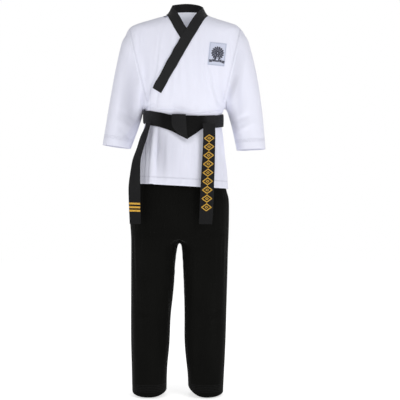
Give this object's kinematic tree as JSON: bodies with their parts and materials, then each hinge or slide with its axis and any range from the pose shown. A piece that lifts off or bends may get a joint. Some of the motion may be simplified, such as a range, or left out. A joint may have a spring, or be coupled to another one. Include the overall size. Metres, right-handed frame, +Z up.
{
  "type": "martial arts uniform",
  "caption": "Wrap-over martial arts uniform with black collar band, three-quarter sleeves, wide trousers and a knotted black belt, filled out as worn.",
  "frame": {"origin": "middle of the wearer's neck at the height where the shoulders begin", "axes": "+Z up, the wearer faces -Y, +X towards the wearer's left hand"},
  "size_m": [0.612, 0.2715, 1.4657],
  "materials": {
    "white_cloth": "matt ribbed cotton-blend weave, white with a cool cast",
    "collar_band": "black twill band with rows of stitching",
    "black_cloth": "matt black weave",
    "belt_cloth": "black cotton belt with rows of stitching",
    "patch_cloth": "tight pale twill with a stitched edge",
    "navy_thread": "satin-stitched thread",
    "gold_thread": "satin-stitched thread with a sheen",
    "fastener": "hook and loop tape",
    "elastic": "ribbed woven elastic",
    "eyelet_metal": "black enamel on brass"
  },
  "bodies": {
    "torso": {"jacket_back_panel": "white_cloth", "jacket_front_under": "white_cloth", "jacket_front_over": "white_cloth", "shoulder_yoke_lining": "white_cloth", "side_vent_tab_left": "white_cloth", "side_vent_tab_right": "white_cloth", "collar_back_neck": "collar_band", "collar_over_front": "collar_band", "collar_under_front": "collar_band", "closure_loop_patch": "fastener", "closure_hook_patch": "fastener", "chest_patch": "patch_cloth", "chest_emblem": "navy_thread", "crotch_gusset": "black_cloth", "trouser_left_front_upper": "black_cloth", "trouser_left_back_upper": "black_cloth", "trouser_right_front_upper": "black_cloth", "trouser_right_back_upper": "black_cloth", "waistband_casing": "black_cloth", "waist_elastic": "elastic", "eyelet_left": "eyelet_metal", "eyelet_right": "eyelet_metal", "belt_inner_wrap": "belt_cloth", "belt_outer_wrap": "belt_cloth", "knot_arm_left": "belt_cloth", "knot_arm_right": "belt_cloth", "knot_loop": "belt_cloth"},
    "arm_left": {"sleeve_left": "white_cloth"},
    "arm_right": {"sleeve_right": "white_cloth"},
    "leg_left": {"trouser_left_front_leg": "black_cloth", "trouser_left_back_leg": "black_cloth"},
    "leg_right": {"trouser_right_front_leg": "black_cloth", "trouser_right_back_leg": "black_cloth"},
    "tail_left": {"belt_tail_left": "belt_cloth", "rank_bar_1": "gold_thread", "rank_bar_2": "gold_thread", "rank_bar_3": "gold_thread"},
    "tail_right": {"belt_tail_right": "belt_cloth", "tail_embroidery": "gold_thread"}
  },
  "joints": [
    {"name": "arm_left_raise", "type": "hinge", "parent": "torso", "child": "arm_left", "pos_m": [-0.222, 0, -0.12], "axis": [0, 1, 0], "range_deg": [0, 50]},
    {"name": "arm_right_raise", "type": "hinge", "parent": "torso", "child": "arm_right", "pos_m": [0.206, 0, -0.125], "axis": [0, -1, 0], "range_deg": [0, 50]},
    {"name": "leg_left_spread", "type": "hinge", "parent": "torso", "child": "leg_left", "pos_m": [-0.133, 0, -0.918], "axis": [0, 1, 0], "range_deg": [0, 20]},
    {"name": "leg_right_spread", "type": "hinge", "parent": "torso", "child": "leg_right", "pos_m": [0.066, 0, -0.918], "axis": [0, -1, 0], "range_deg": [0, 20]},
    {"name": "tail_left_swing", "type": "hinge", "parent": "torso", "child": "tail_left", "pos_m": [-0.143, -0.082, -0.386], "axis": [-1, 0, 0], "range_deg": [0, 50]},
    {"name": "tail_right_swing", "type": "hinge", "parent": "torso", "child": "tail_right", "pos_m": [0.08, -0.118, -0.392], "axis": [-1, 0, 0], "range_deg": [0, 60]}
  ]
}
